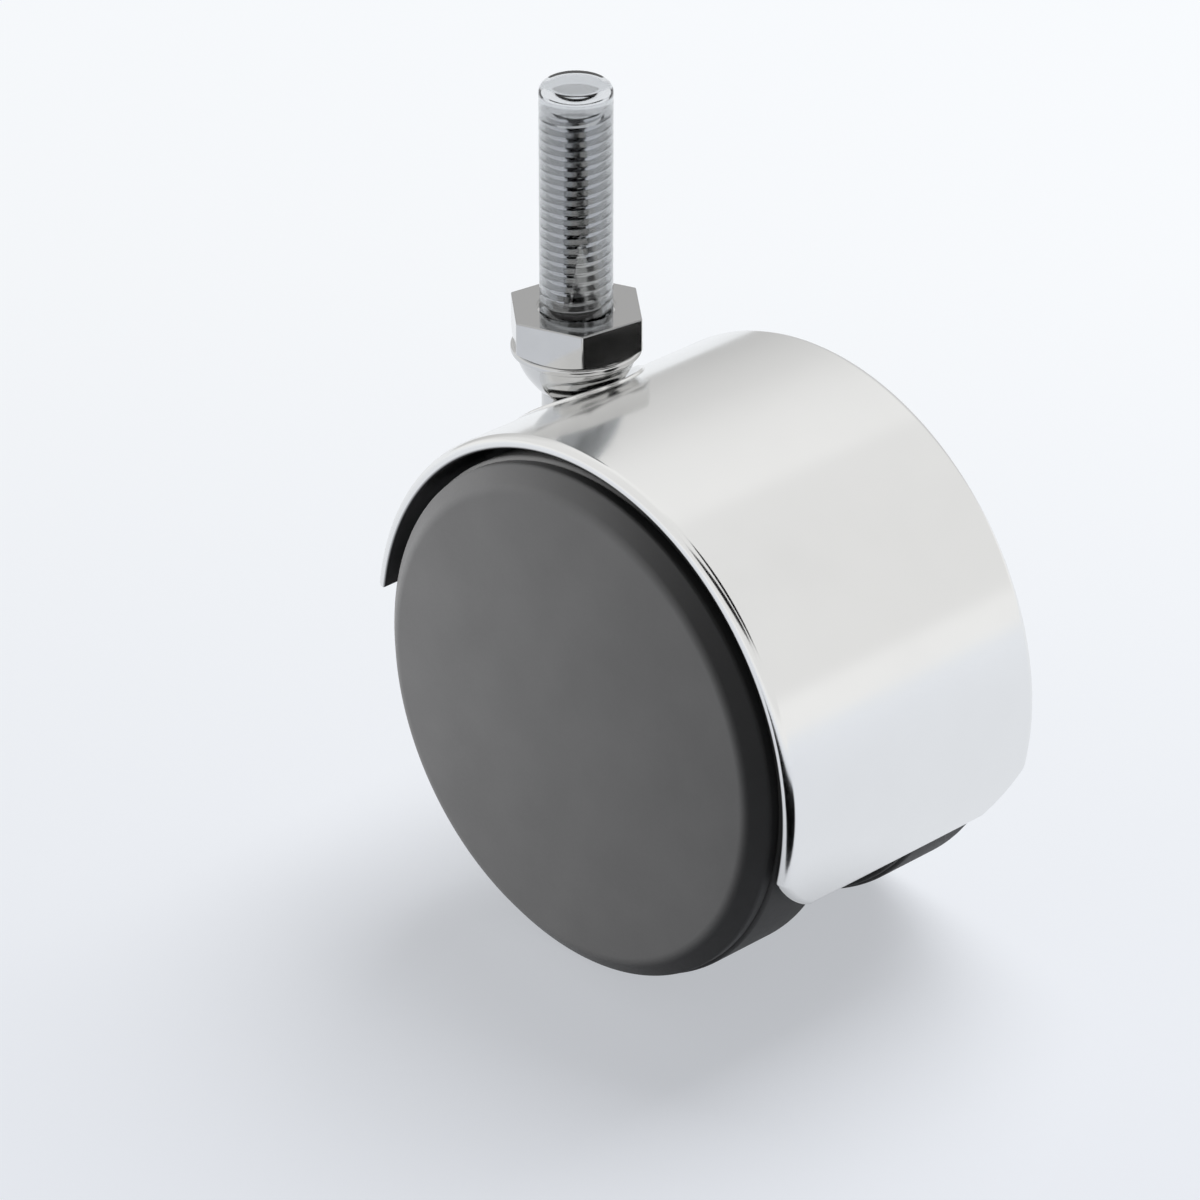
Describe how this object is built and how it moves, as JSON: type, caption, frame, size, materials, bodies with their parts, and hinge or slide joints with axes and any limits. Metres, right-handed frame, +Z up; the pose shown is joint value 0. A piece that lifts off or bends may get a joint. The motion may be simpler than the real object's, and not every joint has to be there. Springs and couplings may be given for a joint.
{
  "type": "twin wheel castor",
  "caption": "Swivel castor with a chromed cylindrical hood over paired plastic wheels, a hexagon threaded stem and a clear thread protector.",
  "frame": {"origin": "on the swivel axis at the hexagon's top face, which seats against the furniture", "axes": "+Z up along the threaded stem, the axle along Y, the wheels trail towards +X"},
  "size_m": [0.0707, 0.046, 0.1014],
  "materials": {
    "chrome_plate": "polished plate",
    "plated_steel": "bright plate",
    "clear_plastic": "clear, glossy",
    "acetal": "natural white",
    "bush_plastic": "black",
    "spring_steel": "oiled",
    "wheel_nylon": "moulded, dark grey",
    "tread_rubber": "soft, grey"
  },
  "bodies": {
    "stem": {"threaded_stem": "plated_steel", "stem_washer": "plated_steel", "stem_circlip": "spring_steel"},
    "protector": {"thread_protector": "clear_plastic"},
    "hood": {"hood": "chrome_plate", "stem_thrust_washer": "acetal", "upper_swivel_bush": "bush_plastic", "lower_swivel_bush": "bush_plastic", "axle": "plated_steel", "left_spacer_washer": "acetal", "right_spacer_washer": "acetal", "left_axle_snap_ring": "spring_steel", "right_axle_snap_ring": "spring_steel"},
    "left_wheel": {"left_wheel": "wheel_nylon", "left_tread": "tread_rubber", "left_hub_bush": "bush_plastic"},
    "right_wheel": {"right_wheel": "wheel_nylon", "right_tread": "tread_rubber", "right_hub_bush": "bush_plastic"}
  },
  "joints": [
    {"name": "swivel", "type": "hinge", "parent": "stem", "child": "hood", "pos_m": [0, 0, 0], "axis": [0, 0, 1], "continuous": true},
    {"name": "left_roll", "type": "hinge", "parent": "hood", "child": "left_wheel", "pos_m": [0.0215, 0, -0.04], "axis": [0, 1, 0], "continuous": true},
    {"name": "right_roll", "type": "hinge", "parent": "hood", "child": "right_wheel", "pos_m": [0.0215, 0, -0.04], "axis": [0, 1, 0], "continuous": true},
    {"name": "protector_pull", "type": "slide", "parent": "stem", "child": "protector", "axis": [0, 0, 1], "range_m": [0, 0.035]}
  ]
}
